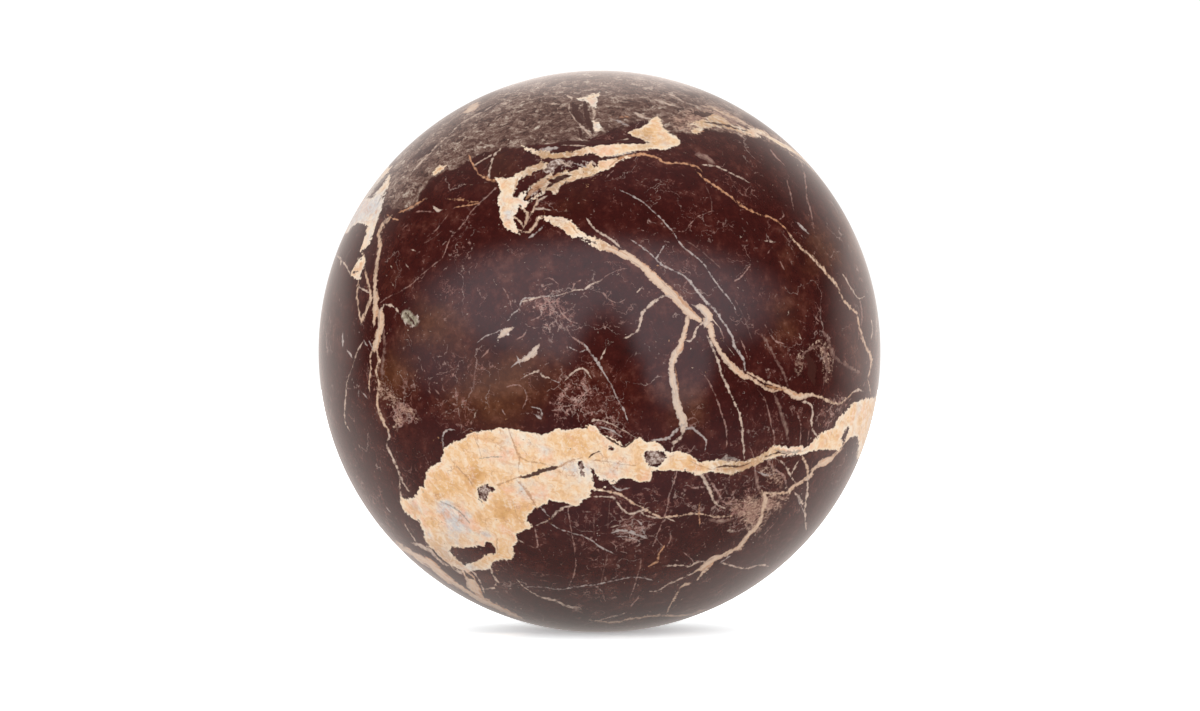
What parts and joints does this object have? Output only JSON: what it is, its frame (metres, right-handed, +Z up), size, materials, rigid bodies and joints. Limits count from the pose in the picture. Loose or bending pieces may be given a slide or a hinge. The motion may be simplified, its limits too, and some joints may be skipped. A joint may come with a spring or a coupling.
{
  "type": "decorative sphere",
  "caption": "Solid ball of polished dark red stone with cream and grey veins, resting on a small ground flat; an ornament for a table or shelf.",
  "frame": {"origin": "centre of the round ground flat beneath the ball, on the surface it stands on", "axes": "+Z up through the ball's centre; -Y is the side the picture shows"},
  "size_m": [0.2, 0.2, 0.1993],
  "materials": {
    "polished_stone": "high polish, dark red ground with cream calcite veins"
  },
  "bodies": {
    "root": {"stone_sphere": "polished_stone"}
  },
  "joints": []
}
